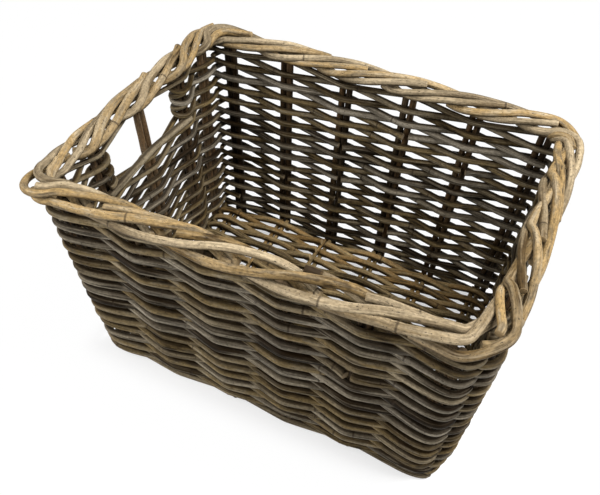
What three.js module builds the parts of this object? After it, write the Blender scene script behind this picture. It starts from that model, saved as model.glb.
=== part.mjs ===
// Rectangular rattan storage basket with leaning walls, a plaited border and
// a hand hole in each end wall.
// Millimetres, +Z up, +X along the length, origin under the middle of the base.
// Round rods are woven in front of and behind upright pairs of stakes. Each
// rod is a body of its own, and rods that press on each other in the real
// basket stand a hair apart.

import * as THREE from "three";

// Overall sizes, over the border and over the lowest row of weaving
const TOP_LENGTH = 440;
const TOP_WIDTH = 330;
const BASE_LENGTH = 392;
const BASE_WIDTH = 276;
const HEIGHT = 250;

// Rods
const STAKE_DIAMETER = 8;
const WEAVER_DIAMETER = 7;
const BASE_STICK_DIAMETER = 7;
const BASE_WEAVER_DIAMETER = 7;
const BORDER_DIAMETER = 10;
const CLEARANCE = 0.3;

// Pairs of stakes in each long wall, evenly spaced, the room left at the
// corners for the weavers to cross, and how far they cut the corner
const LONG_WALL_STAKES = 6;
const CORNER_EASE = 5;
const CORNER_ROUNDING = 2;

// Hand holes, between the second and fourth of the five stakes of an end wall
const HANDLE_WIDTH = 118;
const HANDLE_HEIGHT = 44;

// Rods laid end to end in each of the two strands below the hand holes
const LENGTHS_PER_STRAND = 3;

// Row of the wall that the base sticks lie level with
const BASE_ROW = 2;

// Radii and spacings that follow from the rods
const stakeRadius = STAKE_DIAMETER / 2;
const weaverRadius = WEAVER_DIAMETER / 2;
const stickRadius = BASE_STICK_DIAMETER / 2;
const baseWeaverRadius = BASE_WEAVER_DIAMETER / 2;
const borderRadius = BORDER_DIAMETER / 2;

// How the weavers pass the pairs of rods in the walls and in the base
const wallPass = passing(stakeRadius, weaverRadius);
const basePass = passing(stickRadius, baseWeaverRadius);
const cornerInset = wallPass.turn + wallPass.flat + CORNER_EASE;

// The border rods coil about a line that runs round the rim
const coilAcross = BORDER_DIAMETER;
const coilUp = 0.65 * BORDER_DIAMETER;
const borderFlat = borderRadius * Math.cos(Math.PI / 6);
const rimHeight = HEIGHT - coilUp - borderFlat;
const borderUnderside = rimHeight - coilUp - borderFlat;

// Middle surface of the walls, from the floor to the rim line. The stakes in
// the middle of a long wall are passed in one bend, which stands out furthest.
const longBays = LONG_WALL_STAKES - 1;
const footBay = (BASE_LENGTH - 2 * (cornerInset + 2 * wallPass.flat)) / longBays;
const wallBend = bendPast(wallPass, footBay);
const wallHalf = wallBend + weaverRadius;
const rimX = TOP_LENGTH / 2 - coilAcross - borderRadius;
const rimY = TOP_WIDTH / 2 - coilAcross - borderRadius;
const footX = BASE_LENGTH / 2 - wallHalf;
const footY = BASE_WIDTH / 2 - wallHalf;

// Rows of weaving, from the floor to the border
const wovenHeight = borderUnderside - 2 * CLEARANCE;
const rowCount = Math.floor(wovenHeight / (WEAVER_DIAMETER + CLEARANCE));
const rowPitch = wovenHeight / rowCount;
const rimRow = rowCount - 1;
const handleRowsWanted = Math.round(HANDLE_HEIGHT / rowPitch);
const lowerTurns = Math.floor((rimRow - handleRowsWanted) / 2);
const lowerRows = 2 * lowerTurns;

// Where the stakes stand: shares of the wall between its two corner stakes
const handleMiddle = (rowHeight(lowerRows) + rowHeight(rimRow - 1)) / 2;
const handleStakeY = HANDLE_WIDTH / 2 + wallPass.turn + weaverRadius;
const handleShare = handleStakeY / (halfY(handleMiddle) - cornerInset);
const endWallShares = [-1, -handleShare, 0, handleShare, 1];
const longWallShares = Array.from(
  { length: LONG_WALL_STAKES },
  (_, index) => (2 * index) / longBays - 1,
);

// Rattan, one finish for each job in the basket
const stakeRattan = rattan("stake_rattan", 0x57483a);
const weaverRattan = rattan("weaver_rattan", 0x6f6355);
const baseRattan = rattan("base_rattan", 0x82694a);
const borderRattan = rattan("border_rattan", 0xb39a70);

// Outlines of a single rod and of a pair lying side by side
const weaverOutline = rodOutline(4, weaverRadius);
const baseWeaverOutline = rodOutline(4, baseWeaverRadius);
const borderOutline = rodOutline(6, borderRadius);
const stakeOutline = pairOutline(stakeRadius);
const stickOutline = pairOutline(stickRadius);

const UP = new THREE.Vector3(0, 0, 1);
const ALONG_WIDTH = new THREE.Vector3(0, 1, 0);

const basket = new THREE.Group();
basket.name = "storage_basket";

// The stakes go round the basket anticlockwise from above. The list begins
// behind the hand hole of the right end wall, where the weaving begins.
const rightWall = wallOfStakes("right", endWallShares, 1, 0);
const backWall = wallOfStakes("back", longWallShares, 0, 1);
const leftWall = wallOfStakes("left", endWallShares, -1, 0);
const frontWall = wallOfStakes("front", longWallShares, 0, -1);
const stakes = [
  ...rightWall.slice(3),
  ...backWall,
  ...leftWall,
  ...frontWall,
  ...rightWall.slice(0, 3),
];

// Base: pairs of sticks from front to back, and one long weaver laid to and
// fro across them. It turns back round the outermost sticks.
const baseHeight = rowHeight(BASE_ROW);
const baseBend = bendPast(basePass, footBay);
const baseLow = baseHeight - baseBend - baseWeaverRadius;
const baseRoomX = halfX(baseLow) - wallHalf - CLEARANCE - baseWeaverRadius;
const baseRoomY = halfY(baseLow) - wallHalf - CLEARANCE - baseWeaverRadius;
const outerStickX = baseRoomX - basePass.turn;

longWallShares.forEach((share, index) => {
  const x = share * outerStickX;
  const front = -stickReach(frontWall[index]);
  const back = stickReach(backWall[backWall.length - 1 - index]);
  const frames = [front, back].map((y) => ({
    origin: new THREE.Vector3(x, y, baseHeight),
    u: new THREE.Vector3(1, 0, 0),
    v: UP,
  }));
  addPiece(`base_stick_${index + 1}`, stickOutline, frames, baseRattan);
});

const baseGaps = Math.floor((2 * baseRoomY) / (BASE_WEAVER_DIAMETER + CLEARANCE));
const basePitch = (2 * baseRoomY) / baseGaps;
addPiece(
  "base_weaver",
  baseWeaverOutline,
  rodFrames(baseWeaverPath(), ALONG_WIDTH),
  baseRattan,
);

// Walls: the upright pairs of stakes, cut level with the floor
const stakeTop = borderUnderside;
for (const stake of stakes) {
  const frames = [0, stakeTop].map((z) => ({
    origin: stakePoint(stake, z, 0, 0),
    u: stake.along,
    v: stake.out,
  }));
  addPiece(`stake_${stake.name}`, stakeOutline, frames, stakeRattan);
}

// Below the hand holes two strands chase each other up the wall, each always
// on its own side of a stake and each two rows higher after a turn
for (let length = 0; length < LENGTHS_PER_STRAND; length++) {
  const first = Math.round((length * lowerTurns) / LENGTHS_PER_STRAND);
  const last = Math.round(((length + 1) * lowerTurns) / LENGTHS_PER_STRAND);
  ["a", "b"].forEach((strand, phase) => {
    const path = strandPath(first, last, phase);
    addRod(`wall_weaver_${length + 1}${strand}`, path, weaverOutline, weaverRattan);
  });
}

// Beside the hand holes one rod for the front and one for the back turns
// round the stakes at the holes and goes to and fro
const backHalf = stakes.slice(0, 10);
const frontHalf = stakes.slice(11, 21);
addRod("handle_weaver_back", toAndFroPath(backHalf), weaverOutline, weaverRattan);
addRod("handle_weaver_front", toAndFroPath(frontHalf), weaverOutline, weaverRattan);

// One more row closes the hand holes above and carries the border
addRod("rim_weaver", rimPath(), weaverOutline, weaverRattan);

// Border: one rod for each stake, coiled from the underside over the outside,
// the top and the inside of the rim to the underside again
for (let index = 0; index < stakes.length; index++) {
  const name = `border_rod_${String(index + 1).padStart(2, "0")}`;
  addRod(name, borderPath(index), borderOutline, borderRattan);
}

export default basket;

// Half length and half width of the middle of the walls at a height
function halfX(z) {
  return footX + ((rimX - footX) * z) / rimHeight;
}

function halfY(z) {
  return footY + ((rimY - footY) * z) / rimHeight;
}

// Height of the middle of a row, counted from the lowest as 0
function rowHeight(row) {
  return CLEARANCE + weaverRadius + row * rowPitch;
}

// How a weaver goes past a pair of rods: its distance from the pair at a flat
// pass, the rods' distance from the middle of the pair, the half width of the
// pair, and the distance at which the weaver goes round its end
function passing(pairRadius, rodRadius) {
  const flat = pairRadius + rodRadius + CLEARANCE;
  const spread = pairRadius * Math.cos(Math.PI / 6);
  const half = 2 * spread;
  return { flat, spread, half, turn: half + rodRadius + 2 * CLEARANCE };
}

// Distance at a pass made in one bend, between bays where the weaver changes
// sides. It slopes away from the bend, and still clears both rods.
function bendPast(pass, bay) {
  const slope = (2.5 * pass.flat) / bay;
  return pass.flat * Math.hypot(1, slope) + slope * pass.spread;
}

// Stakes of one wall in anticlockwise order. outX and outY point out of it.
function wallOfStakes(wall, shares, outX, outY) {
  const out = new THREE.Vector3(outX, outY, 0);
  const along = new THREE.Vector3(-outY, outX, 0);
  return shares.map((share, index) => ({
    name: `${wall}_${index + 1}`,
    endWall: outX !== 0,
    share,
    out,
    along,
  }));
}

// Point at a stake: so far along the wall from it and so far out of the wall
function stakePoint(stake, z, along, out) {
  const wallLength = stake.endWall ? halfY(z) : halfX(z);
  const wallDistance = stake.endWall ? halfX(z) : halfY(z);
  return new THREE.Vector3(0, 0, z)
    .addScaledVector(stake.along, stake.share * (wallLength - cornerInset) + along)
    .addScaledVector(stake.out, wallDistance + out);
}

// A row goes outside every other stake, and the next row outside the rest
function sideOf(row, stake) {
  return (row + stakes.indexOf(stake)) % 2 === 0 ? 1 : -1;
}

// How far along the wall, before and after a stake, a weaver bends
function bendsAt(stake) {
  if (stake.share === -1) {
    return [-wallPass.turn, wallPass.half];
  }
  if (stake.share === 1) {
    return [-wallPass.half, wallPass.turn];
  }
  return stake.endWall ? [-wallPass.half, wallPass.half] : [0];
}

// Past the last stake of a wall the weaver bends once more, at the corner
function pointsPast(stake, row) {
  const bends = bendsAt(stake);
  const distance = bends.length === 1 ? wallBend : wallPass.flat;
  const out = sideOf(row, stake) * distance;
  const points = bends.map((along) => stakePoint(stake, rowHeight(row), along, out));
  if (stake.share === 1) {
    const along = cornerInset - CORNER_ROUNDING;
    points.push(stakePoint(stake, rowHeight(row), along, -CORNER_ROUNDING));
  }
  return points;
}

// One length of a strand. Its ends meet the next rods behind the first stake,
// and the uppermost length ends at the last stake before the hand hole.
function strandPath(firstTurn, lastTurn, phase) {
  const first = stakes[0];
  const path = [endAt(first, 2 * firstTurn + phase, 1)];
  for (let turn = firstTurn; turn < lastTurn; turn++) {
    const row = 2 * turn + phase;
    stakes.forEach((stake, index) => {
      const points = pointsPast(stake, row);
      const start = turn === firstTurn && index === 0;
      path.push(...(start ? points.slice(1) : points));
    });
  }
  if (lastTurn < lowerTurns) {
    const row = 2 * lastTurn + phase;
    path.push(pointsPast(first, row)[0], endAt(first, row, -1));
  }
  return path;
}

// End of a rod behind a stake, just after it or just before it
function endAt(stake, row, direction) {
  const out = sideOf(row, stake) * wallPass.flat;
  return stakePoint(stake, rowHeight(row), direction * CLEARANCE, out);
}

function rimPath() {
  const first = stakes[0];
  const points = stakes.flatMap((stake) => pointsPast(stake, rimRow));
  return [
    endAt(first, rimRow, 1),
    ...points.slice(1),
    points[0],
    endAt(first, rimRow, -1),
  ];
}

// Rows to and fro between two stakes, the rod turning back round each of them
function toAndFroPath(run) {
  const path = [];
  for (let row = lowerRows; row < rimRow; row++) {
    const forward = (row - lowerRows) % 2 === 0;
    const ends = forward ? [run[0], run[run.length - 1]] : [run[run.length - 1], run[0]];
    const between = run.slice(1, -1).flatMap((stake) => pointsPast(stake, row));
    const direction = forward ? 1 : -1;
    path.push(stakePoint(ends[0], rowHeight(row), direction * wallPass.half, passAt(ends[0], row)));
    path.push(...(forward ? between : between.reverse()));
    path.push(stakePoint(ends[1], rowHeight(row), -direction * wallPass.half, passAt(ends[1], row)));
    if (row + 1 < rimRow) {
      const side = sideOf(row, ends[1]);
      for (const [along, out, rise] of turnPoints(wallPass)) {
        path.push(stakePoint(ends[1], rowHeight(row + rise), direction * along, side * out));
      }
    }
  }
  return path;
}

function passAt(stake, row) {
  return sideOf(row, stake) * wallPass.flat;
}

// A rod that turns back round a pair: along it, across it and share of a row
function turnPoints(pass) {
  const wide = 1.1 * pass.flat;
  return [
    [pass.spread, wide, 0],
    [pass.turn, wide / 2, 1 / 3],
    [pass.turn, -wide / 2, 2 / 3],
    [pass.spread, -wide, 1],
  ];
}

// A base stick reaches the wall stake where the weaving leaves room for it,
// and stops at the weaving elsewhere
function stickReach(stake) {
  const wall = halfY(baseHeight - stickRadius);
  const free = sideOf(BASE_ROW, stake) === 1;
  return wall - CLEARANCE - (free ? stakeRadius : wallHalf);
}

function baseWeaverPath() {
  const path = [];
  const lastStick = longWallShares.length - 1;
  for (let pass = 0; pass <= baseGaps; pass++) {
    const y = (pass - baseGaps / 2) * basePitch;
    const direction = pass % 2 === 0 ? 1 : -1;
    const point = (x, out) => new THREE.Vector3(x, y, baseHeight + out);
    for (let step = 0; step <= lastStick; step++) {
      const stick = direction === 1 ? step : lastStick - step;
      const side = (pass + stick) % 2 === 0 ? 1 : -1;
      const atEnd = step === 0 || step === lastStick;
      const inward = step === 0 ? direction : -direction;
      const x = longWallShares[stick] * outerStickX + (atEnd ? inward * basePass.half : 0);
      path.push(point(x, side * (atEnd ? basePass.flat : baseBend)));
      if (step === lastStick && pass < baseGaps) {
        for (const [along, out, share] of turnPoints(basePass)) {
          const turned = point(direction * (outerStickX + along), side * out);
          turned.y += share * basePitch;
          path.push(turned);
        }
      }
    }
  }
  return path;
}

// Point and outward direction on the rim line, counted in stakes. The line
// rounds each corner from one corner stake to the next.
function rimLine(count) {
  const index = Math.floor(count);
  const share = count - index;
  const here = stakes[index % stakes.length];
  const next = stakes[(index + 1) % stakes.length];
  const start = stakePoint(here, rimHeight, 0, 0);
  const end = stakePoint(next, rimHeight, 0, 0);
  if (here.out === next.out) {
    return { point: start.lerp(end, share), out: here.out };
  }
  const angle = (share * Math.PI) / 2;
  const out = here.out
    .clone()
    .multiplyScalar(Math.cos(angle))
    .addScaledVector(next.out, Math.sin(angle));
  const point = start
    .addScaledVector(here.out, -cornerInset)
    .addScaledVector(out, cornerInset);
  return { point, out };
}

// A border rod makes one turn of the coil in three stake spaces
function borderPath(index) {
  const steps = 12;
  const path = [];
  for (let step = 0; step <= steps; step++) {
    const share = THREE.MathUtils.clamp(step / steps, 0.015, 0.985);
    const angle = 2 * Math.PI * share - Math.PI / 2;
    const { point, out } = rimLine(index + 0.5 + 3 * share);
    point.addScaledVector(out, coilAcross * Math.cos(angle));
    point.z += coilUp * Math.sin(angle);
    path.push(point);
  }
  return path;
}

// Rods: frames across a path, mitred at its bends, and lofts along them
function rodFrames(path, across) {
  const sides = path.slice(1).map((point, index) => {
    const direction = point.clone().sub(path[index]);
    return new THREE.Vector3().crossVectors(direction, across).normalize();
  });
  return path.map((origin, index) => {
    const before = sides[Math.max(index - 1, 0)];
    const after = sides[Math.min(index, sides.length - 1)];
    const u = before.clone().add(after).normalize();
    u.divideScalar(u.dot(before));
    return { origin, u, v: across };
  });
}

function rodOutline(sides, radius) {
  return Array.from({ length: sides }, (_, index) => {
    const angle = (2 * Math.PI * index) / sides;
    return new THREE.Vector2(radius * Math.cos(angle), radius * Math.sin(angle));
  });
}

// Two six-sided rods that share one side
function pairOutline(radius) {
  const spread = radius * Math.cos(Math.PI / 6);
  const half = [
    [0, -radius / 2],
    [spread, -radius],
    [2 * spread, -radius / 2],
    [2 * spread, radius / 2],
    [spread, radius],
  ];
  const mirrored = half.map(([x, y]) => [-x, -y]);
  return [...half, ...mirrored].map(([x, y]) => new THREE.Vector2(x, y));
}

function addRod(name, path, outline, material) {
  addPiece(name, outline, rodFrames(path, UP), material);
}

function addPiece(name, outline, frames, material) {
  const mesh = new THREE.Mesh(loft(outline, frames), material);
  mesh.name = name;
  basket.add(mesh);
}

// Closed body through one copy of the outline in each frame
function loft(outline, frames) {
  const count = outline.length;
  const positions = frames.flatMap(({ origin, u, v }) =>
    outline.flatMap(({ x, y }) =>
      origin.clone().addScaledVector(u, x).addScaledVector(v, y).toArray(),
    ),
  );
  const faces = [];
  for (let ring = 0; ring + 1 < frames.length; ring++) {
    for (let corner = 0; corner < count; corner++) {
      const a = ring * count + corner;
      const b = ring * count + ((corner + 1) % count);
      faces.push([a, b, b + count], [a, b + count, a + count]);
    }
  }
  const caps = THREE.ShapeUtils.triangulateShape(outline, []);
  const lastRing = (frames.length - 1) * count;
  for (const [a, b, c] of caps) {
    faces.push([a, c, b], [a + lastRing, b + lastRing, c + lastRing]);
  }
  const geometry = new THREE.BufferGeometry();
  geometry.setAttribute("position", new THREE.Float32BufferAttribute(positions, 3));
  const outward = enclosedVolume(positions, faces) > 0;
  geometry.setIndex(faces.flatMap(([a, b, c]) => (outward ? [a, b, c] : [a, c, b])));
  geometry.computeVertexNormals();
  return geometry;
}

function enclosedVolume(positions, faces) {
  const corner = (index) => new THREE.Vector3().fromArray(positions, 3 * index);
  let volume = 0;
  for (const [a, b, c] of faces) {
    volume += corner(a).dot(corner(b).cross(corner(c))) / 6;
  }
  return volume;
}

function rattan(name, color) {
  const material = new THREE.MeshStandardMaterial({ color, roughness: 0.75, metalness: 0 });
  material.name = name;
  return material;
}
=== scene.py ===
import math

import bpy
import numpy as np
from mathutils import Matrix, Vector


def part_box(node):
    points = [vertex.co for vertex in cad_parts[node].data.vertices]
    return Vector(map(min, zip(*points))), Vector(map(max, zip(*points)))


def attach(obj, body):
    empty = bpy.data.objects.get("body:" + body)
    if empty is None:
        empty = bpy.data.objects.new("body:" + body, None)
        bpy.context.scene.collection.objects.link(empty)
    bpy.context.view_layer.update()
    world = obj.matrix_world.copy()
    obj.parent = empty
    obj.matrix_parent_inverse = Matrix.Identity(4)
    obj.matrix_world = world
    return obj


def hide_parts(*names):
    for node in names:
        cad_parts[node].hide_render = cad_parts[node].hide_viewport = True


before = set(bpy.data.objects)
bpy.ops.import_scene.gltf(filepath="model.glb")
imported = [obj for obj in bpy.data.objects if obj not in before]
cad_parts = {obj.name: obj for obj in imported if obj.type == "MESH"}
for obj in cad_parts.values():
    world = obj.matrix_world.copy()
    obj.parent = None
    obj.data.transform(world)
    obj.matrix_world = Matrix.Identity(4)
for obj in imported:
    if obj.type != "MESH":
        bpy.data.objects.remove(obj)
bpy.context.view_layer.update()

# Base sticks: six pairs of straight rattan sticks that run from the front wall
# to the back wall under and over the base weaving. They are cut square, and
# their ends are pushed in among the lowest rows of the walls.
chance = np.random.default_rng(2044)


def distance_along(line):
    return np.concatenate(([0], np.cumsum(np.linalg.norm(np.diff(line, axis=0), axis=1))))


def bent_line(points, step=0.003, fineness=24):
    """Evenly spaced points along a smooth line through the given points."""
    points = np.asarray(points, float)
    reach = np.linalg.norm(np.diff(points, axis=0), axis=1)
    slopes = np.diff(points, axis=0) / reach[:, None]
    before, after = reach[:-1, None], reach[1:, None]
    middle = (before * slopes[:-1] + after * slopes[1:]) / (before + after)
    pull = np.vstack((slopes[:1], middle, slopes[-1:]))
    t = np.linspace(0, 1, fineness, endpoint=False)[None, :, None]
    far = reach[:, None, None]
    fine = (2 * t**3 - 3 * t**2 + 1) * points[:-1, None]
    fine = fine + (3 * t**2 - 2 * t**3) * points[1:, None]
    fine = fine + (t**3 - 2 * t**2 + t) * far * pull[:-1, None]
    fine = fine + (t**3 - t**2) * far * pull[1:, None]
    fine = np.vstack((fine.reshape(-1, 3), points[-1:]))
    run = distance_along(fine)
    even = np.linspace(0, run[-1], max(2, round(run[-1] / step)) + 1)
    return np.column_stack([np.interp(even, run, fine[:, axis]) for axis in range(3)])


def wavering(run, shortest, longest):
    """A slow sway between about -1 and 1 along a rod, mixed from three waves."""
    lengths = chance.uniform(shortest, longest, 3)
    phases = chance.uniform(0, 2 * math.pi, 3)
    waves = np.sin(run[:, None] * 2 * math.pi / lengths + phases)
    return waves.mean(axis=1) * 1.5


def unit(vectors):
    return vectors / np.linalg.norm(vectors, axis=-1, keepdims=True)


# How cane grows and is cut: swelling, girth, oval and bevel are shares of the radius,
# and each rod takes its own stretch from a long run of grain
knot_spacing = (0.12, 0.4)
most_knots = 90
knot_width = 0.0022
knot_swelling = 0.08
girth_sway = 0.035
oval_share, oval_turn = 0.03, 6.3
bevel_share = 0.12
bevel_taper = 0.84
tone_sway = 0.13
grain_length = 40
# Where the end walls and the front wall begin, and over what length a rod changes
end_walls, end_fade = 0.155, 0.03
front_wall, front_fade = 0.095, 0.02


def rattan_rod(line, radius, tone, warmth, beside=(0, 0, 1), sides=12, slim=0.0, stout=0.0):
    """One rod of rattan cane: a swelling and a dark ring at each of its nodes, a
    slightly oval section, slimmer at the ends of the basket and stouter in front,
    and two blunt cut ends."""
    run = distance_along(line)
    ahead = unit(np.gradient(line, axis=0))
    across = unit(np.cross(ahead, np.asarray(beside, float)))
    upward = np.cross(across, ahead)
    knots = np.cumsum(chance.uniform(*knot_spacing, most_knots))
    knots = knots - chance.uniform(0, knot_spacing[1])
    ring = run[:, None] - knots
    ring = ring[np.arange(len(run)), np.abs(ring).argmin(axis=1)]
    at_ends = np.clip((np.abs(line[:, 0]) - end_walls) / end_fade, 0, 1)
    in_front = np.clip((-line[:, 1] - front_wall) / front_fade, 0, 1)
    girth = radius * (1 + girth_sway * wavering(run, 0.02, 0.2))
    girth = girth * (1 - slim * at_ends)
    girth = girth * (1 + stout * in_front)
    girth = girth + knot_swelling * radius * np.exp(-((ring / knot_width) ** 2))
    bevel = bevel_share * radius
    line = np.vstack((line[:1] - bevel * ahead[:1], line, line[-1:] + bevel * ahead[-1:]))
    with_ends = [0, *range(len(run)), -1]
    across, upward = across[with_ends], upward[with_ends]
    girth = np.concatenate((girth[:1] * bevel_taper, girth, girth[-1:] * bevel_taper))
    run = np.concatenate(([-bevel], run, [run[-1] + bevel]))
    angle = np.arange(sides) * 2 * math.pi / sides
    oval = 1 + oval_share * np.cos(2 * angle + chance.uniform(0, oval_turn))
    around = np.cos(angle)[None, :, None] * across[:, None]
    around = around + np.sin(angle)[None, :, None] * upward[:, None]
    cut = np.zeros(len(run))
    cut[[0, -1]] = 1
    start = chance.uniform(0, grain_length)
    grain = np.empty((len(run), sides, 3))
    grain[..., 0] = radius * np.cos(angle)
    grain[..., 1] = radius * np.sin(angle)
    grain[..., 2] = run[:, None] + start
    return {
        "skin": line[:, None] + girth[:, None, None] * oval[None, :, None] * around,
        "tips": line[[0, -1]],
        "run": run,
        "radius": radius,
        "rod_tone": np.clip(tone + tone_sway * wavering(run, 0.12, 0.7), 0.01, 0.99),
        "rod_warmth": np.full(len(run), warmth),
        "rod_ring": ring[with_ends],
        "rod_cut": cut,
        "grain": grain,
    }


# The map of a piece: the length kept free between rods, for a cut end and beside a
# strip, and the share of a strip's height that is kept free above and below
map_gap = 0.008
map_tip = 0.002
map_spare = 0.006
map_margin = 0.04


def in_strips(u, v, strip, strips):
    """Corners of faces on a square map: the rods lie in strips, one above the other."""
    level = np.clip(np.floor(u.mean(axis=1) / strip), 0, strips - 1)[:, None]
    u = (u - level * strip + map_spare) / (strip + 2 * map_spare)
    v = (level + map_margin + (1 - 2 * map_margin) * v) / strips
    return np.column_stack((u.ravel(), v.ravel()))


def piece_of_rods(name, rods, finish):
    """One mesh of several rods, each a closed skin, with its map in level strips."""
    points, faces, spread, flat, grain = [], [], [], [], []
    facts = {key: [] for key in ("rod_tone", "rod_warmth", "rod_ring", "rod_cut")}
    total = sum(rod["run"][-1] + map_gap for rod in rods)
    strips = max(1, round(math.sqrt(total / (2 * math.pi * rods[0]["radius"]))))
    strip = total / strips
    first, laid = 0, map_gap / 2
    for rod in rods:
        rings, sides = rod["skin"].shape[:2]
        points += [rod["skin"].reshape(-1, 3), rod["tips"]]
        for key in facts:
            facts[key] += [np.repeat(rod[key], sides), rod[key][[0, -1]]]
        grain += [rod["grain"].reshape(-1, 3), rod["grain"][[0, -1], 0] * [0, 0, 1]]
        row, side = np.meshgrid(np.arange(rings - 1), np.arange(sides), indexing="ij")
        row, side = row.ravel(), side.ravel()
        beyond = (side + 1) % sides
        quads = np.column_stack(
            (
                row * sides + side,
                (row + 1) * sides + side,
                (row + 1) * sides + beyond,
                row * sides + beyond,
            )
        )
        along = laid + rod["run"]
        faces += (first + quads).tolist()
        u = np.column_stack((along[row], along[row + 1], along[row + 1], along[row]))
        v = np.column_stack((side, side, side + 1, side + 1)) / sides
        spread.append(in_strips(u, v, strip, strips))
        flat += [False] * len(quads)
        corner = np.arange(sides)
        following = (corner + 1) % sides
        last = (rings - 1) * sides
        start_tip, end_tip = rings * sides, rings * sides + 1
        caps = np.vstack(
            (
                np.column_stack((np.full(sides, start_tip), corner, following)),
                np.column_stack((np.full(sides, end_tip), last + following, last + corner)),
            )
        )
        faces += (first + caps).tolist()
        tip = np.repeat([along[0] - map_tip, along[-1] + map_tip], sides)
        edge = np.repeat([along[0], along[-1]], sides)
        u = np.column_stack((tip, edge, edge))
        there, later = np.tile(corner, 2), np.tile(corner + 1, 2)
        forward = np.repeat([True, False], sides)
        v = np.column_stack(
            (
                there + 0.5,
                np.where(forward, there, later),
                np.where(forward, later, there),
            )
        )
        spread.append(in_strips(u, v / sides, strip, strips))
        flat += [True] * len(caps)
        first += rings * sides + 2
        laid += rod["run"][-1] + map_gap
    mesh = bpy.data.meshes.new(name)
    mesh.from_pydata(np.vstack(points), [], faces)
    mesh.polygons.foreach_set("use_smooth", ~np.array(flat))
    for key, values in facts.items():
        store = mesh.attributes.new(key, "FLOAT", "POINT")
        store.data.foreach_set("value", np.concatenate(values).astype(np.float32))
    store = mesh.attributes.new("rod_grain", "FLOAT_VECTOR", "POINT")
    store.data.foreach_set("vector", np.vstack(grain).astype(np.float32).ravel())
    layer = mesh.uv_layers.new(name="OFBake")
    layer.data.foreach_set("uv", np.vstack(spread).astype(np.float32).ravel())
    mesh.materials.append(finish)
    piece = bpy.data.objects.new(name, mesh)
    bpy.context.scene.collection.objects.link(piece)
    return piece


# The skin of weathered cane, used in every finish: long fibres and cracks, grey and
# brown patches, rods bleached grey, mould specks, dark rings at the nodes, pale cut
# ends, and painted shade on the faces of a rod that turn up, down or aside, where the rods next
# to it would shade it
skin_group = bpy.data.node_groups.new("weathered_cane", "ShaderNodeTree")
for label, kind, value in (
    ("Dark", "NodeSocketColor", (0.05, 0.04, 0.03, 1)),
    ("Light", "NodeSocketColor", (0.2, 0.17, 0.12, 1)),
    ("Warm", "NodeSocketColor", (0.2, 0.12, 0.06, 1)),
    ("Cut", "NodeSocketColor", (0.3, 0.24, 0.16, 1)),
    ("Fibre", "NodeSocketFloat", 0.35),
    ("Patches", "NodeSocketFloat", 0.5),
    ("Specks", "NodeSocketFloat", 0.5),
    # Strengths of the painted shade on the top, sides, underside and top and bottom bands of a
    # rod
    ("Grime above", "NodeSocketFloat", 0.0),
    ("Grime beside", "NodeSocketFloat", 0.0),
    ("Grime below", "NodeSocketFloat", 0.0),
    ("Grime edges", "NodeSocketFloat", 0.0),
):
    socket = skin_group.interface.new_socket(label, in_out="INPUT", socket_type=kind)
    socket.default_value = value
for label, kind in (
    ("Colour", "NodeSocketColor"),
    ("Roughness", "NodeSocketFloat"),
    ("Height", "NodeSocketFloat"),
):
    skin_group.interface.new_socket(label, in_out="OUTPUT", socket_type=kind)


def skin_node(kind, **settings):
    node = skin_group.nodes.new(kind)
    for key, value in settings.items():
        setattr(node, key, value)
    return node


def skin_link(value, socket):
    if isinstance(value, bpy.types.NodeSocket):
        skin_group.links.new(value, socket)
    else:
        socket.default_value = value


def skin_fact(name, output="Fac"):
    return skin_node("ShaderNodeAttribute", attribute_name=name).outputs[output]


def skin_math(operation, first, second=0.0, clamp=False):
    node = skin_node("ShaderNodeMath", operation=operation, use_clamp=clamp)
    skin_link(first, node.inputs[0])
    skin_link(second, node.inputs[1])
    return node.outputs[0]


def skin_range(value, low, high, to_low=0.0, to_high=1.0):
    node = skin_node("ShaderNodeMapRange", interpolation_type="SMOOTHSTEP")
    skin_link(value, node.inputs["Value"])
    node.inputs["From Min"].default_value = low
    node.inputs["From Max"].default_value = high
    node.inputs["To Min"].default_value = to_low
    node.inputs["To Max"].default_value = to_high
    return node.outputs["Result"]


def skin_mix(share, first, second, blend="MIX"):
    node = skin_node("ShaderNodeMix", data_type="RGBA", blend_type=blend)
    node.clamp_factor = True
    skin_link(share, node.inputs["Factor"])
    skin_link(first, node.inputs[6])
    skin_link(second, node.inputs[7])
    return node.outputs[2]


def skin_noise(stretch, detail, roughness=0.5):
    stretched = skin_node("ShaderNodeVectorMath", operation="MULTIPLY")
    skin_link(skin_fact("rod_grain", "Vector"), stretched.inputs[0])
    stretched.inputs[1].default_value = stretch
    noise = skin_node("ShaderNodeTexNoise")
    skin_link(stretched.outputs[0], noise.inputs["Vector"])
    noise.inputs["Scale"].default_value = 1
    noise.inputs["Detail"].default_value = detail
    noise.inputs["Roughness"].default_value = roughness
    return noise.outputs["Fac"]


bleach_tint = (1.0, 0.96, 0.88, 1)
bleach_strength = 0.42
crack_tint = (0.018, 0.011, 0.005, 1)
stain_tint = (0.028, 0.021, 0.016, 1)
mould_tint = (0.02, 0.015, 0.012, 1)
ring_tint = (0.022, 0.015, 0.01, 1)
ring_strength = 0.68
ring_depth = 1.2
# Tints of the painted shade on the faces of a rod: brown bands, dark contact lines, dark
# underside
edge_painted_shade = (0.027, 0.0135, 0.003, 1)
seam_painted_shade = (0.009, 0.005, 0.002, 1)
under_painted_shade = (0.011, 0.006, 0.002, 1)
cut_strength = 0.75
smoothest, roughness_spread = 0.42, 0.3

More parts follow.
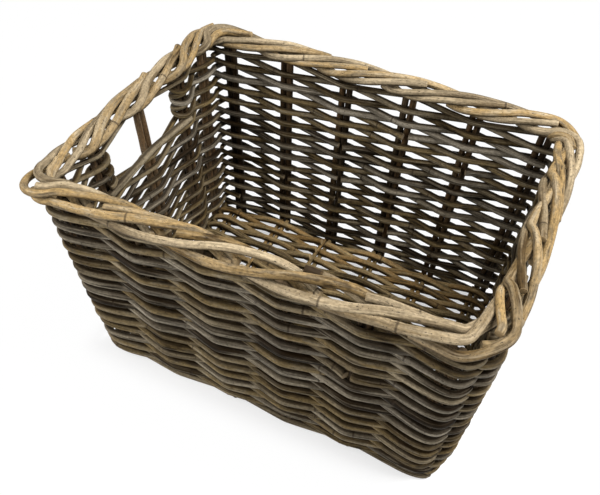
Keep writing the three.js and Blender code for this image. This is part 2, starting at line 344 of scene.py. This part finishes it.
skin_in = skin_node("NodeGroupInput").outputs
skin_out = skin_node("NodeGroupOutput").inputs
fibre = skin_range(skin_noise((600, 600, 24), 3), 0.34, 0.66)
patch = skin_range(skin_noise((170, 170, 15), 3, 0.6), 0.34, 0.66)
stain = skin_noise((220, 220, 45), 4, 0.65)
speck = skin_range(skin_noise((900, 900, 420), 2), 0.64, 0.71)
crack = skin_range(skin_noise((760, 760, 14), 2), 0.57, 0.66)
grit = skin_range(skin_noise((480, 480, 340), 3), 0.3, 0.7, 0.78, 1.22)
shade = skin_math("MULTIPLY", skin_math("SUBTRACT", fibre, 0.5), skin_in["Fibre"])
drift = skin_math("MULTIPLY", skin_math("SUBTRACT", patch, 0.5), skin_in["Patches"])
shade = skin_math("ADD", skin_math("ADD", shade, drift), skin_fact("rod_tone"), clamp=True)
colour = skin_mix(shade, skin_in["Dark"], skin_in["Light"])
warm = skin_math("MULTIPLY", skin_fact("rod_warmth"), skin_range(stain, 0.36, 0.6))
colour = skin_mix(warm, colour, skin_in["Warm"])
greyed = skin_node("ShaderNodeRGBToBW")
skin_link(colour, greyed.inputs["Color"])
bleached = skin_mix(1.0, greyed.outputs["Val"], bleach_tint, "MULTIPLY")
coldness = skin_math("MULTIPLY", skin_fact("rod_warmth"), -bleach_strength)
colour = skin_mix(coldness, colour, bleached)
colour = skin_mix(1.0, colour, grit, "MULTIPLY")
colour = skin_mix(skin_math("MULTIPLY", crack, skin_in["Fibre"]), colour, crack_tint)
stained = skin_range(stain, 0.56, 0.72, 0.0, 0.55)
colour = skin_mix(skin_math("MULTIPLY", stained, skin_in["Specks"]), colour, stain_tint)
colour = skin_mix(skin_math("MULTIPLY", speck, skin_in["Specks"]), colour, mould_tint)
ring = skin_range(skin_math("ABSOLUTE", skin_fact("rod_ring")), 0.0003, 0.0015, 1.0, 0.0)
colour = skin_mix(skin_math("MULTIPLY", ring, ring_strength), colour, ring_tint)
around = skin_node("ShaderNodeSeparateXYZ")
skin_link(skin_fact("rod_grain", "Vector"), around.inputs[0])
beside, above = around.outputs["X"], around.outputs["Y"]
beside_squared, above_squared = (skin_math("POWER", part, 2.0) for part in (beside, above))
from_middle = skin_math("SQRT", skin_math("ADD", beside_squared, above_squared))
# Painted shade: a brown shade on wide bands at the top and bottom of a rod, a dark one on its top
# and sides where it meets its neighbours, and a dark one on its underside
for label, part, low, high, tint in (
    ("Grime edges", skin_math("ABSOLUTE", above), 0.3, 0.95, edge_painted_shade),
    ("Grime above", above, 0.78, 1.0, seam_painted_shade),
    ("Grime beside", skin_math("ABSOLUTE", beside), 0.78, 1.0, seam_painted_shade),
    ("Grime below", skin_math("MULTIPLY", above, -1.0), -0.35, 0.8, under_painted_shade),
):
    painted_shade = skin_range(skin_math("DIVIDE", part, from_middle), low, high)
    colour = skin_mix(skin_math("MULTIPLY", painted_shade, skin_in[label]), colour, tint)
cut = skin_math("MULTIPLY", skin_fact("rod_cut"), cut_strength)
colour = skin_mix(cut, colour, skin_in["Cut"])
roughness = skin_math("ADD", skin_math("MULTIPLY", patch, roughness_spread), smoothest)
skin_link(colour, skin_out["Colour"])
skin_link(roughness, skin_out["Roughness"])
skin_link(
    skin_math("SUBTRACT", fibre, skin_math("MULTIPLY", ring, ring_depth)), skin_out["Height"]
)


def cane_finish(name, dark, light, warm, cut, fibre, patches, specks, **painted_shades):
    """A matt cane finish with its own tones, and painted shade on the sides that are named."""
    finish = bpy.data.materials.new(name)
    finish.use_nodes = True
    nodes, links = finish.node_tree.nodes, finish.node_tree.links
    surface = nodes["Principled BSDF"]
    surface.inputs["Specular IOR Level"].default_value = 0.04
    skin = nodes.new("ShaderNodeGroup")
    skin.node_tree = skin_group
    for label, value in (("Dark", dark), ("Light", light), ("Warm", warm), ("Cut", cut)):
        skin.inputs[label].default_value = (*value, 1)
    for label, value in (("Fibre", fibre), ("Patches", patches), ("Specks", specks)):
        skin.inputs[label].default_value = value
    for side, amount in painted_shades.items():
        skin.inputs[f"Grime {side}"].default_value = amount
    relief = nodes.new("ShaderNodeBump")
    relief.inputs["Strength"].default_value = 0.5
    relief.inputs["Distance"].default_value = 0.0006
    links.new(skin.outputs["Height"], relief.inputs["Height"])
    links.new(skin.outputs["Colour"], surface.inputs["Base Color"])
    links.new(skin.outputs["Roughness"], surface.inputs["Roughness"])
    links.new(relief.outputs["Normal"], surface.inputs["Normal"])
    return finish


base_finish = cane_finish(
    "base_cane",
    dark=(0.035, 0.024, 0.011),
    light=(0.29, 0.213, 0.106),
    warm=(0.24, 0.14, 0.048),
    cut=(0.32, 0.23, 0.12),
    fibre=0.4,
    patches=0.45,
    specks=0.9,
    # Painted shade on the sides of each rod, where it lies against the rods beside it
    beside=0.75,
)

BASE_HEIGHT = 0.01849
BASE_STICK_X = 0.15713
stick_count = 6
stick_x = [BASE_STICK_X * (2 * number / (stick_count - 1) - 1) for number in range(stick_count)]
stick_radius = 0.0027
stick_spread = 0.0034
stick_trim = 0.003
stick_sway = 0.0004
stick_tones = (0.2, 0.5)
stick_warmths = (0, 0.7)
for number, middle in enumerate(stick_x):
    node = f"base_stick_{number + 1}"
    low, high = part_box(node)
    rods = []
    for side in (-1, 1):
        x = middle + side * stick_spread
        start = (x, low.y + chance.uniform(0, stick_trim), BASE_HEIGHT)
        end = (x, high.y - chance.uniform(0, stick_trim), BASE_HEIGHT)
        line = bent_line((start, end))
        line[:, 0] += stick_sway * wavering(distance_along(line), 0.08, 0.2)
        tone = chance.uniform(*stick_tones)
        rods.append(rattan_rod(line, stick_radius, tone, chance.uniform(*stick_warmths)))
    piece = piece_of_rods(f"{node}_cane", rods, base_finish)
    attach(piece, "root")
    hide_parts(node)

# Base weaver: thin warm-coloured cane laid to and fro from end to end of the
# basket, over and under the pairs of sticks. It turns back round the outermost
# pair, and a new length starts on top of a stick where the last one ran out.
BASE_ROOM_Y = 0.10938
base_passes = 30
base_pitch = 2 * BASE_ROOM_Y / (base_passes - 1)
base_radius = 0.0037
base_lift = 0.0055
base_inward = 0.0055
base_turn_start = 0.0032
base_turn = 0.0155
base_tones = (0.5, 0.2)
base_warmths = (0.1, 0.4, 0.8, 1)
base_lengths = (0.35, 1.1)
# How a strand sways, over what length its cut ends are bent, how far the old end
# then stands up and the new one lies down, the shortest length that is used, and
# how girth and warmth change from cane to cane
strand_sway = 0.00035
end_bend = 0.018
old_end_up = (0.0012, 0.0026)
new_end_down = (0.0, 0.0008)
shortest_used = 0.1
cane_girths = (0.88, 1.11)
cane_warmths = (0.6, 1)


def cut_in_lengths(points, ends_at, radius, tones, warmths, lengths):
    """The rods of one long strand: each starts where the one before it was cut."""
    line = bent_line(points)
    run = distance_along(line)
    sway = np.column_stack([wavering(run, 0.05, 0.3) for axis in range(3)])
    line = line + strand_sway * sway
    marks = [int(np.linalg.norm(line - point, axis=1).argmin()) for point, way in ends_at]
    cuts, wanted = [], chance.uniform(*lengths)
    for index in np.argsort(marks):
        mark, way = marks[index], np.asarray(ends_at[index][1], float)
        if run[mark] > wanted and run[-1] - run[mark] > shortest_used:
            cuts.append((mark, way))
            wanted = run[mark] + chance.uniform(*lengths)
    rods = []
    starts = [(0, None), *cuts]
    stops = [*cuts, (len(line), None)]
    for (start, start_way), (stop, stop_way) in zip(starts, stops):
        stretch = line[start:stop].copy()
        away = distance_along(stretch)
        if stop_way is not None:
            lift = np.clip(1 - (away[-1] - away) / end_bend, 0, 1) ** 2
            stretch += chance.uniform(*old_end_up) * lift[:, None] * stop_way
        if start_way is not None:
            lift = np.clip(1 - away / end_bend, 0, 1) ** 2
            stretch -= chance.uniform(*new_end_down) * lift[:, None] * start_way
            stretch = stretch[1:]
        tone = float(np.clip(chance.normal(*tones), 0.02, 0.98))
        warmth = float(chance.choice(warmths) * chance.uniform(*cane_warmths))
        girth = radius * chance.uniform(*cane_girths)
        rods.append(rattan_rod(stretch, girth, tone, warmth, slim=0.15, stout=0.1))
    return rods


def turn_back(near, far):
    """Bends round a pair: how far along, how far out, and the share of a row's rise."""
    return ((near, 1.1, 0), (far, 0.55, 1 / 3), (far, -0.55, 2 / 3), (near, -1.1, 1))


points, ends_at = [], []
for number in range(base_passes):
    y = (number - (base_passes - 1) / 2) * base_pitch
    forward = 1 if number % 2 == 0 else -1
    for place, stick in enumerate(range(stick_count)[::forward]):
        lift = base_lift if (number + stick) % 2 == 0 else -base_lift
        at_turn = place in (0, stick_count - 1)
        inward = math.copysign(base_inward, stick_x[stick]) if at_turn else 0.0
        points.append((stick_x[stick] - inward, y, BASE_HEIGHT + lift))
        if lift > 0 and not at_turn:
            ends_at.append((points[-1], (0, 0, 1)))
    if number < base_passes - 1:
        for along, out, share in turn_back(base_turn_start, base_turn):
            x = forward * (BASE_STICK_X + along)
            points.append((x, y + share * base_pitch, BASE_HEIGHT + out * lift))
rods = cut_in_lengths(points, ends_at, base_radius, base_tones, base_warmths, base_lengths)
piece = piece_of_rods("base_weaver_cane", rods, base_finish)
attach(piece, "root")
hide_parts("base_weaver")

# Stakes: twenty-two upright pairs of dark canes, six in each long wall and five
# in each end wall. They lean out with the walls, stand on the floor on their
# cut feet, and their tops go up into the border.
FOOT_HALF_LENGTH, LENGTH_LEAN = 0.18325, 0.02175
FOOT_HALF_WIDTH, WIDTH_LEAN = 0.12525, 0.02475
CORNER_INSET = 0.02383
RIM_HEIGHT = 0.23917
HANDLE_SHARE = 0.6029
stake_radius = 0.0036
stake_spread = 0.0039
stake_foot, stake_middle, stake_top = 0.001, 0.11, 0.2305
stake_sway = 0.0006
stake_bow = 0.0004
woven_tones, woven_warmths = (0.02, 0.22), (0, 0.6)
bare_tones, bare_warmth = (0.5, 0.75), 0.5


def half_length(z):
    return FOOT_HALF_LENGTH + LENGTH_LEAN * z / RIM_HEIGHT


def half_width(z):
    return FOOT_HALF_WIDTH + WIDTH_LEAN * z / RIM_HEIGHT


def stakes_of(wall, shares, out):
    out = np.array((*out, 0.0))
    along = np.array((-out[1], out[0], 0.0))
    return [
        {"name": f"{wall}_{index + 1}", "share": share, "out": out, "along": along}
        for index, share in enumerate(shares)
    ]


def in_end_wall(stake):
    return stake["out"][0] != 0


def beside_stake(stake, z, along, out):
    """A point so far along the wall from a stake and so far out of the wall."""
    length = half_width(z) if in_end_wall(stake) else half_length(z)
    distance = half_length(z) if in_end_wall(stake) else half_width(z)
    point = stake["along"] * (stake["share"] * (length - CORNER_INSET) + along)
    return point + stake["out"] * (distance + out) + np.array((0, 0, z))


end_shares = (-1, -HANDLE_SHARE, 0, HANDLE_SHARE, 1)
long_shares = (-1, -0.6, -0.2, 0.2, 0.6, 1)
right_stakes = stakes_of("right", end_shares, (1, 0))
stakes = [
    *right_stakes[3:],
    *stakes_of("back", long_shares, (0, 1)),
    *stakes_of("left", end_shares, (-1, 0)),
    *stakes_of("front", long_shares, (0, -1)),
    *right_stakes[:3],
]
stake_finish = cane_finish(
    "stake_cane",
    dark=(0.016, 0.011, 0.007),
    light=(0.14, 0.1, 0.06),
    warm=(0.13, 0.07, 0.028),
    cut=(0.1, 0.07, 0.04),
    fibre=0.4,
    patches=0.4,
    specks=0.9,
)
for stake in stakes:
    node = f"stake_{stake['name']}"
    in_hand_hole = stake["share"] == 0
    rods = []
    for side in (-1, 1):
        along = side * stake_spread
        sway = chance.uniform(-stake_sway, stake_sway, 2)
        line = bent_line(
            (
                beside_stake(stake, stake_foot, along, 0),
                beside_stake(stake, stake_middle, along + sway[0], stake_bow * side),
                beside_stake(stake, stake_top, along + sway[1], 0),
            )
        )
        tone = chance.uniform(*(bare_tones if in_hand_hole else woven_tones))
        warmth = bare_warmth if in_hand_hole else chance.uniform(*woven_warmths)
        radius = stake_radius * chance.uniform(0.95, 1.05)
        rods.append(rattan_rod(line, radius, tone, warmth, beside=stake["out"]))
    piece = piece_of_rods(f"{node}_cane", rods, stake_finish)
    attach(piece, "root")
    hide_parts(node)

# Wall weavers: round grey-brown canes woven in front of and behind the stakes.
# Two strands chase each other up the walls, each two rows higher after a turn,
# and each strand is several canes, cut off and tucked in behind a stake.
ROW_PITCH = 0.0073464
FIRST_ROW = 0.0038
weaver_radius = 0.0035
weaver_pass = stake_radius + weaver_radius
pair_half = stake_spread + stake_radius
weaver_turn = pair_half + weaver_radius + 0.0003
lowest_weaver = 1.2 * weaver_radius
bend_half = 0.6 * pair_half
lowest_bend, bend_gain = 0.4, 0.12
slow_settling, loose_settling = 0.0006, 0.0005
# How far the rows cut each corner, by the stake before it: most at the back
corner_rounding = {1: 0.006, 7: 0.006, 12: 0.0035, 18: 0.004}


def row_height(row):
    return FIRST_ROW + row * ROW_PITCH


def side_of(row, index):
    return 1 if (row + index) % 2 == 0 else -1


def settling(index, row):
    """How far the weaving has been beaten down, or stands up, at a stake."""
    slow = math.sin(0.83 * index + 0.31 * row) + math.sin(2.1 * index - 0.23 * row + 1)
    return slow_settling * slow + chance.normal(0, loose_settling)


def past_stake(index, row):
    """Points where a row of weaving bends past a stake; the lowest rows lie flatter."""
    stake = stakes[index]
    flatter = min(1.0, lowest_bend + bend_gain * row)
    out = side_of(row, index) * weaver_pass * flatter
    if stake["share"] == -1:
        bends = (-weaver_turn, pair_half)
    elif stake["share"] == 1:
        bends = (-pair_half, weaver_turn)
    else:
        bends = (-bend_half, bend_half)
    z = max(row_height(row) + settling(index, row), lowest_weaver)
    points = [beside_stake(stake, z, along, out) for along in bends]
    if stake["share"] == 1:
        rounding = flatter * corner_rounding[index]
        points.append(beside_stake(stake, z, CORNER_INSET - rounding, -rounding))
    return points


weaver_finish = cane_finish(
    "weaver_cane",
    dark=(0.0105, 0.0065, 0.0025),
    light=(0.216, 0.177, 0.117),
    warm=(0.138, 0.098, 0.043),
    cut=(0.2, 0.15, 0.09),
    fibre=0.55,
    patches=0.55,
    specks=0.9,
    # Painted shade on the top of each rod under the row above, and a brown painted shade on its
    # top and bottom
    above=0.7,
    edges=0.42,
)
weaver_warmths = (-1, -0.7, 0.2, 0.6, 1, 1.2)
weaver_lengths = (0.5, 1.7)
lowest_tone, paler_higher, tone_spread = 0.37, 0.085, 0.24
ends_in_front = 0.15
stretches, turns_per_stretch = 3, 4
# The stout grey cane on the lower edge of the left hand hole: the stakes that it
# passes, how far along from each, and how far above the last full row
hole_edge_row = 23
hole_edge = (
    (9, -0.002, 0.001),
    (9, 0.012, 0.002),
    (10, -0.008, 0.006),
    (10, 0.008, 0.006),
    (11, -0.012, 0.002),
    (11, 0.004, 0.001),
)
hole_edge_radius, hole_edge_tone = 1.15 * weaver_radius, 0.85
for stretch in range(stretches):
    first_turn = turns_per_stretch * stretch
    next_turn = first_turn + turns_per_stretch
    weaver_tones = (lowest_tone + paler_higher * stretch, tone_spread)
    for phase, strand in enumerate("ab"):
        node = f"wall_weaver_{stretch + 1}{strand}"
        points, ends_at = [], []
        for turn in range(first_turn, next_turn):
            row = 2 * turn + phase
            for index, stake in enumerate(stakes):
                bends = past_stake(index, row)
                if turn == first_turn and index == 0:
                    bends = bends[1:]
                points += bends
                if side_of(row, index) == -1 or chance.random() < ends_in_front:
                    ends_at.append((bends[0], stake["out"] * side_of(row, index)))
        if stretch < stretches - 1:
            points.append(past_stake(0, 2 * next_turn + phase)[0])
        rods = cut_in_lengths(
            points, ends_at, weaver_radius, weaver_tones, weaver_warmths, weaver_lengths
        )
        if node == "wall_weaver_3b":
            edge = [
                beside_stake(stakes[index], row_height(hole_edge_row) + rise, along, -weaver_pass)
                for index, along, rise in hole_edge
            ]
            rods.append(rattan_rod(bent_line(edge), hole_edge_radius, hole_edge_tone, 0))
        piece = piece_of_rods(f"{node}_cane", rods, weaver_finish)
        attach(piece, "root")
        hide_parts(node)

# Hand hole weavers: one strand of the same cane for the front and one for the
# back. At the side of each hand hole it turns back round the stake, row after
# row, and short hooked ends fill the turns, which wraps the edge of the hole.
HANDLE_ROWS = range(24, 30)
handle_tones = (0.56, 0.18)
handle_lengths = (0.5, 1.6)
hook_radius, hook_tones, hook_warmth = 0.92 * weaver_radius, (0.2, 0.6), 0.4
hook_tip, hook_side = 0.0005, 1.2 * stake_spread
hook_bends = (
    (hook_tip, 1.0, 0.12),
    (hook_side, 1.05, 0.2),
    (weaver_turn, 0.55, 1 / 3),
    (weaver_turn, -0.55, 2 / 3),
    (hook_side, -1.05, 0.8),
    (hook_tip, -1.0, 0.88),
)


def at_hole(index, row, rise, along, out):
    """A point at the edge of a hand hole, its reach out of the wall in weaver widths."""
    z = row_height(row + rise)
    return beside_stake(stakes[index], z, along, out * side_of(row, index) * weaver_pass)


for name, run_of_stakes in (("back", range(0, 10)), ("front", range(11, 21))):
    node = f"handle_weaver_{name}"
    points, ends_at = [], []
    for row in HANDLE_ROWS:
        way = 1 if row % 2 == 0 else -1
        order = run_of_stakes[::way]
        first, last = order[0], order[-1]
        points.append(at_hole(first, row, 0, way * pair_half, 1))
        for index in order[1:-1]:
            bends = past_stake(index, row)
            points += bends[::way]
            if side_of(row, index) == -1:
                ends_at.append((bends[0], -stakes[index]["out"]))
        points.append(at_hole(last, row, 0, -way * pair_half, 1))
        if row < HANDLE_ROWS[-1]:
            for along, out, rise in turn_back(stake_spread, weaver_turn):
                points.append(at_hole(last, row, rise, way * along, out))
    rods = cut_in_lengths(
        points, ends_at, weaver_radius, handle_tones, weaver_warmths, handle_lengths
    )
    for row in HANDLE_ROWS[:-1]:
        index, way = (run_of_stakes[0], -1) if row % 2 == 0 else (run_of_stakes[-1], 1)
        hook = [at_hole(index, row, rise, way * along, out) for along, out, rise in hook_bends]
        tone = chance.uniform(*hook_tones)
        rods.append(rattan_rod(bent_line(hook, step=0.002), hook_radius, tone, hook_warmth))
    piece = piece_of_rods(f"{node}_cane", rods, weaver_finish)
    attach(piece, "root")
    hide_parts(node)

# Rim weaver: one more row of cane that goes all the way round, closes both hand
# holes above and holds the tops of the stakes apart under the border. It is one
# cane, so the length at which it would be cut is longer than the rim.
RIM_ROW = 30
rim_tones, rim_warmths, rim_lengths = (0.5, 0.1), (0.2, 0.3), (9, 10)
points = []
for index in range(len(stakes)):
    points += past_stake(index, RIM_ROW)
points = [*points[1:], points[0]]
rods = cut_in_lengths(points, [], weaver_radius, rim_tones, rim_warmths, rim_lengths)
piece = piece_of_rods("rim_weaver_cane", rods, weaver_finish)
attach(piece, "root")
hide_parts("rim_weaver")

# Border rods: the thick pale tops of the stakes, laid down one after the other
# round the rim. Each rises on the inside beside a shorter mate that is cut off
# on top, goes over to the outside and down under the rods laid before it.
COIL_ACROSS = 0.0112
COIL_UP = 0.0069
border_radius, mate_radius = 0.0037, 0.0035
border_sway = 0.0007
left_rods, left_stout = range(5, 9), 1.18
front_rods, front_stout = range(14, len(stakes)), 1.1
border_finish = cane_finish(
    "border_cane",
    dark=(0.045, 0.028, 0.012),
    light=(0.42, 0.335, 0.215),
    warm=(0.3, 0.2, 0.085),
    cut=(0.36, 0.26, 0.14),
    fibre=0.22,
    patches=0.5,
    specks=0.9,
    # Painted shade on the underside of each rod
    below=0.8,
)
# The usual tone of a rod and the palest one, by the side of the basket; the back rods are paler,
# as painted light
left_tones, back_painted_light_tones, other_tones = (0.35, 0.5), (0.66, 0.74), (0.45, 0.61)
border_tone_spread, border_warmths = 0.15, (0, 0.1, 0.6, 0.9)
# How far each corner is pulled out, or in, by the stake before it: the front left
# corner is the sharpest and the front right one is cut across
corner_pull = {1: -0.004, 7: 0.001, 12: 0.0085, 18: -0.006}


def at_corner(here, following):
    return here["out"] @ following["out"] < 0.5


def rim_line(count):
    """Point and outward direction on the rim, counted in stakes."""
    index = math.floor(count)
    share = count - index
    here, following = stakes[index % len(stakes)], stakes[(index + 1) % len(stakes)]
    start = beside_stake(here, RIM_HEIGHT, 0, 0)
    if not at_corner(here, following):
        end = beside_stake(following, RIM_HEIGHT, 0, 0)
        return start + share * (end - start), here["out"]
    angle = share * math.pi / 2
    out = here["out"] * math.cos(angle) + following["out"] * math.sin(angle)
    pulled_out = corner_pull[index % len(stakes)] * math.sin(math.pi * share)
    return start + CORNER_INSET * (out - here["out"]) + pulled_out * out, out


def coiled(count, angle, swell):
    """A point on the border, turned by an angle round the line of the rim."""
    point, out = rim_line(count)
    point = point + out * swell * COIL_ACROSS * math.cos(angle)
    return point + np.array((0, 0, swell * COIL_UP * math.sin(angle)))


# How far round the border a rod has turned, counted in stakes from where it rises:
# up the inside at once, then slowly over the top and down the outside
rise_counts = (0, 0.15, 0.3, 0.65, 1.0, 1.3, 1.65, 2.0, 2.5, 2.94)
steep_rise = (4.6, 3.9, 3.14, 1.9, 1.2, 0.7, 0.15, -0.35, -0.9, -1.3)
even_rise = (4.6, 4.0, 3.45, 2.6, 1.85, 1.3, 0.65, 0.05, -0.6, -1.1)
rise_swells = (0.75, 0.9, 1.0, 1.04, 1.04, 1.02, 1.0, 1.0, 0.98, 0.92)
rod_counts = rise_counts[-1] * np.linspace(0, 1, 24) ** 1.3
rises_at = 3.44
early_at_corner = 0.45
coil_turn, coil_slack = (-0.1, 0.1), (0.95, 1.03)
# Where a mate starts and is cut off, how far it lies behind its rod, and how far its
# cut end stands up, over what count; some on the left are longer and stand up more
mate_start, mate_ends, later_at_corner = 0.1, (1.55, 1.8), 1.1
end_wall_behind, long_wall_behind = 1.1, 0.9
mate_lifts, lifted_end = (-0.06, 0.08), 0.25
long_mates, mate_longer, mate_higher = range(6, 9), 0.2, 0.22
# Pairs that come straight across the front right corner, by stake: where they start
# ahead of it, their angle and swell there, and from where on they follow the coil
straight_starts = {
    15: (4.5, 4.1, 0.9, 0.47),
    16: (3.6, 3.3, 0.9, 1.24),
    17: (3.8, 1.5, 0.55, 0.5),
    18: (3.8, 1.5, 0.55, 0.5),
    19: (3.8, 1.5, 0.55, 0.5),
}
start_apart = 0.4
coiled_mate = 16
# Pairs in front that are laid otherwise: the place where the mate is cut off, how far
# the pair is turned, and how far the mate lies behind its rod
front_mate_ends = {15: 1.5, 16: 0.55, 17: 1.64}
front_turns = {15: -0.1, 16: 0.9}
front_behind = {15: 1.15}
# Tone and warmth of the rods that stand out in front; True is the mate
front_looks = {
    (15, False): (0.55, 0.1),
    (15, True): (0.58, 0.1),
    (16, False): (0.48, 0.2),
    (17, False): (0.24, 0.3),
    (17, True): (0.42, 1.0),
}
# The mate in the middle of the front that ends in a blackened stump
black_mate, black_mate_end, black_mate_lift = 14, 1.25, 0.16
black_rings = slice(-7, None)
for index in range(len(stakes)):
    node = f"border_rod_{index + 1:02d}"
    on_left = index in left_rods
    on_back = "back" in stakes[index]["name"]
    usual_tone, palest = left_tones if on_left else back_painted_light_tones if on_back else other_tones
    stout = left_stout if on_left else front_stout if index in front_rods else 1.0
    turned, slack = chance.uniform(*coil_turn), chance.uniform(*coil_slack)
    here, following = stakes[(index + 3) % len(stakes)], stakes[(index + 4) % len(stakes)]
    early = early_at_corner if at_corner(here, following) else 0.0
    rise_angles = steep_rise if in_end_wall(here) else even_rise
    mate_behind = end_wall_behind if in_end_wall(here) else long_wall_behind
    mate_behind = front_behind.get(index, mate_behind)
    if index == black_mate:
        mate_end, end_lift = black_mate_end, black_mate_lift
    else:
        mate_end = chance.uniform(*mate_ends) + later_at_corner * early
        end_lift = chance.uniform(*mate_lifts)
    if index in long_mates:
        mate_end, end_lift = mate_end + mate_longer, end_lift + mate_higher
    mate_end = front_mate_ends.get(index, mate_end)
    turned = front_turns.get(index, turned)
    rods = []
    for is_mate, behind, counts, radius in (
        (False, 0.0, rod_counts, border_radius),
        (True, mate_behind, np.linspace(mate_start, mate_end, 20), mate_radius),
    ):
        path = []
        if index in straight_starts and not (is_mate and index == coiled_mate):
            lead, low_angle, low_swell, after = straight_starts[index]
            path.append(coiled(index + lead, low_angle + start_apart * behind, low_swell))
            counts = counts[counts > after]
        for count in counts:
            angle = np.interp(count, rise_counts, rise_angles) + behind + turned
            swell = slack * np.interp(count, rise_counts, rise_swells)
            if is_mate:
                swell += end_lift * max(0.0, 1 - (counts[-1] - count) / lifted_end) ** 2
            place = index + rises_at - count + early * max(0.0, 1 - count)
            path.append(coiled(place, angle, swell))
        line = bent_line(path, step=0.0025)
        run = distance_along(line)
        sway = np.column_stack([wavering(run, 0.045, 0.2) for axis in range(3)])
        line = line + border_sway * sway
        tone = float(np.clip(chance.normal(usual_tone, border_tone_spread), 0.1, palest))
        warmth = float(chance.choice(border_warmths))
        tone, warmth = front_looks.get((index, is_mate), (tone, warmth))
        girth = stout * radius * chance.uniform(0.92, 1.06)
        rods.append(rattan_rod(line, girth, tone, warmth, sides=16))
    if index == black_mate:
        stump = rods[1]
        stump["rod_tone"][black_rings] = -0.4
        stump["rod_warmth"][black_rings] = 0
        stump["rod_ring"][black_rings] = 0
        stump["rod_cut"][-1] = 0
    piece = piece_of_rods(f"{node}_cane", rods, border_finish)
    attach(piece, "root")
    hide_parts(node)

# Floor: a wide white sheet of board that the basket stands on. Seen directly it
# glows white; within a few centimetres of the foot it glows less, which shows its real
# shadow and also paints a grey band of shade there, and farther away it is white.
FLOOR_FOOT = (0.185, 0.127, 0)
shadow_reach = 0.04
white_at_foot, white_away = 0.6, 0.99
bpy.ops.mesh.primitive_plane_add(size=12, location=(0, 0, -0.0005))
floor = bpy.context.object
floor.name = "floor"
floor_finish = bpy.data.materials.new("white_board")
floor_finish.use_nodes = True
nodes, links = floor_finish.node_tree.nodes, floor_finish.node_tree.links
board = nodes["Principled BSDF"]
board.inputs["Base Color"].default_value = (0.95, 0.95, 0.95, 1)
board.inputs["Roughness"].default_value = 0.9
board.inputs["Specular IOR Level"].default_value = 0.1
glow = nodes.new("ShaderNodeEmission")
glow.inputs["Color"].default_value = (1, 1, 1, 1)
glow.inputs["Strength"].default_value = 1.0


def seen_directly(nodes, links):
    """1 for what is looked at, also in a reflection or through glass, and 0 for light."""
    path = nodes.new("ShaderNodeLightPath")
    seen = path.outputs["Is Camera Ray"]
    for way in ("Is Glossy Ray", "Is Transmission Ray"):
        either = nodes.new("ShaderNodeMath")
        either.operation = "MAXIMUM"
        links.new(seen, either.inputs[0])
        links.new(path.outputs[way], either.inputs[1])
        seen = either.outputs[0]
    return seen


def board_vector(operation, value, second=(0, 0, 0)):
    node = nodes.new("ShaderNodeVectorMath")
    node.operation = operation
    links.new(value, node.inputs[0])
    node.inputs[1].default_value = second
    return node.outputs["Value" if operation == "LENGTH" else "Vector"]


place = nodes.new("ShaderNodeTexCoord").outputs["Object"]
beyond = board_vector("SUBTRACT", board_vector("ABSOLUTE", place), FLOOR_FOOT)
# Less glow near the foot: the real shadow shows there, with a painted grey band of shade
whiteness = nodes.new("ShaderNodeMapRange")
whiteness.interpolation_type = "SMOOTHSTEP"
links.new(board_vector("LENGTH", board_vector("MAXIMUM", beyond)), whiteness.inputs["Value"])
whiteness.inputs["From Min"].default_value = 0.0
whiteness.inputs["From Max"].default_value = shadow_reach
whiteness.inputs["To Min"].default_value = white_at_foot
whiteness.inputs["To Max"].default_value = white_away
share = nodes.new("ShaderNodeMath")
share.operation = "MULTIPLY"
links.new(seen_directly(nodes, links), share.inputs[0])
links.new(whiteness.outputs["Result"], share.inputs[1])
blend = nodes.new("ShaderNodeMixShader")
links.new(share.outputs[0], blend.inputs["Fac"])
links.new(board.outputs["BSDF"], blend.inputs[1])
links.new(glow.outputs["Emission"], blend.inputs[2])
links.new(blend.outputs["Shader"], nodes["Material Output"].inputs["Surface"])
floor.data.materials.append(floor_finish)

# Light: an even white studio, with a large soft lamp before the basket on the left
# and a second one above it that lights the inside
room_light, room_white = 0.24, 1.0
world = bpy.data.worlds.new("studio")
bpy.context.scene.world = world
world.use_nodes = True
nodes, links = world.node_tree.nodes, world.node_tree.links
background = nodes["Background"]
background.inputs["Color"].default_value = (1, 1, 1, 1)
level = nodes.new("ShaderNodeMapRange")
links.new(seen_directly(nodes, links), level.inputs["Value"])
level.inputs["To Min"].default_value = room_light
level.inputs["To Max"].default_value = room_white
links.new(level.outputs["Result"], background.inputs["Strength"])


def soft_lamp(name, place, size, power, aim=(0, 0, 0.1)):
    lamp = bpy.data.lights.new(name, "AREA")
    lamp.shape = "SQUARE"
    lamp.size = size
    lamp.energy = power
    stand = bpy.data.objects.new(name, lamp)
    bpy.context.scene.collection.objects.link(stand)
    stand.location = place
    stand.rotation_mode = "QUATERNION"
    stand.rotation_quaternion = (Vector(aim) - Vector(place)).to_track_quat("-Z", "Y")


soft_lamp("key", place=(-0.65, -0.68, 0.62), size=0.75, power=10.4)
soft_lamp("top", place=(0.75, 0.15, 1.4), size=0.9, power=46)

# Camera: at the angle, distance and tilt that the basket is seen from, which is
# from in front on the right, looking down into it
camera_place = (0.21214, -0.51087, 0.67224)
yaw, pitch, roll = math.radians(-24.18), math.radians(44.94), math.radians(2.18)
ahead = Vector(
    (
        math.cos(pitch) * math.sin(yaw),
        math.cos(pitch) * math.cos(yaw),
        -math.sin(pitch),
    )
)
level_right = Vector((math.cos(yaw), -math.sin(yaw), 0))
level_up = level_right.cross(ahead)
right = math.cos(roll) * level_right + math.sin(roll) * level_up
up = -math.sin(roll) * level_right + math.cos(roll) * level_up
lens = bpy.data.cameras.new("camera")
lens.sensor_width = 36
lens.sensor_fit = "HORIZONTAL"
lens.lens = 45.28
camera = bpy.data.objects.new("camera", lens)
bpy.context.scene.collection.objects.link(camera)
turned_camera = Matrix((right, up, -ahead)).transposed().to_4x4()
camera.matrix_world = Matrix.Translation(camera_place) @ turned_camera
bpy.context.scene.camera = camera
bpy.context.scene.view_settings.view_transform = "Standard"
